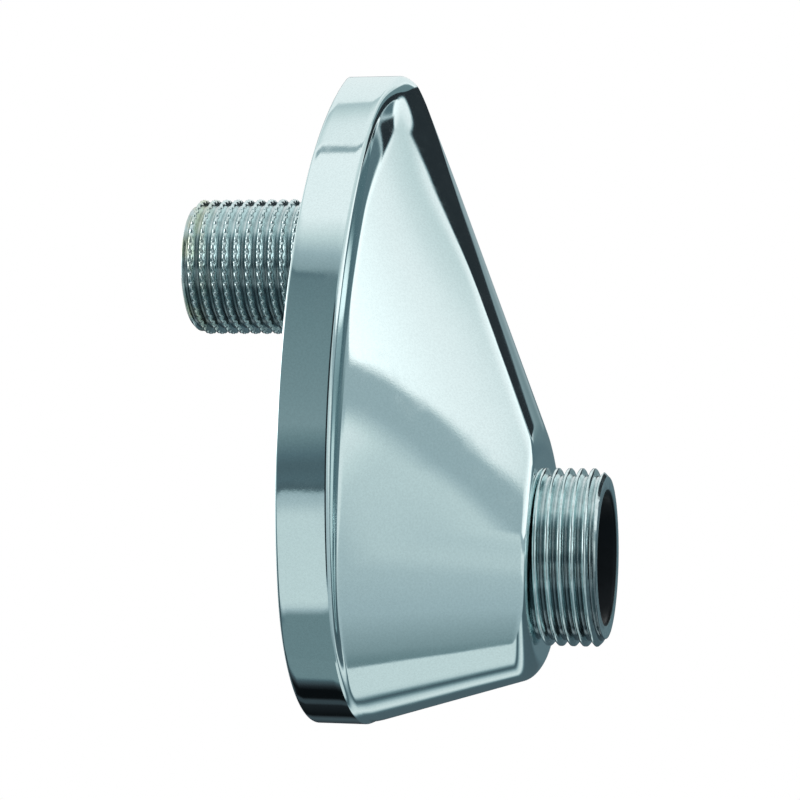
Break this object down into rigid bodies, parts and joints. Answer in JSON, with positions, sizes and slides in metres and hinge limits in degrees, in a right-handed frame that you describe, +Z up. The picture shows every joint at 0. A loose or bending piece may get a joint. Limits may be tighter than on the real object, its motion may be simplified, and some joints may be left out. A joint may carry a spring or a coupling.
{
  "type": "eccentric connector",
  "caption": "Chrome-plated eccentric connector: a rear G 1/2 threaded nipple, an egg-shaped wall rim with a slanted hood, and a lower front G 3/4 threaded outlet.",
  "frame": {"origin": "where the inlet nipple's axis meets the wall plane", "axes": "+Z up, +X to the viewer's right when facing the outlet, the outlet points along -Y and the inlet goes back into the wall along +Y"},
  "size_m": [0.0638, 0.0663, 0.101],
  "materials": {
    "chrome": "polished"
  },
  "bodies": {
    "root": {"connector_body": "chrome"}
  },
  "joints": []
}
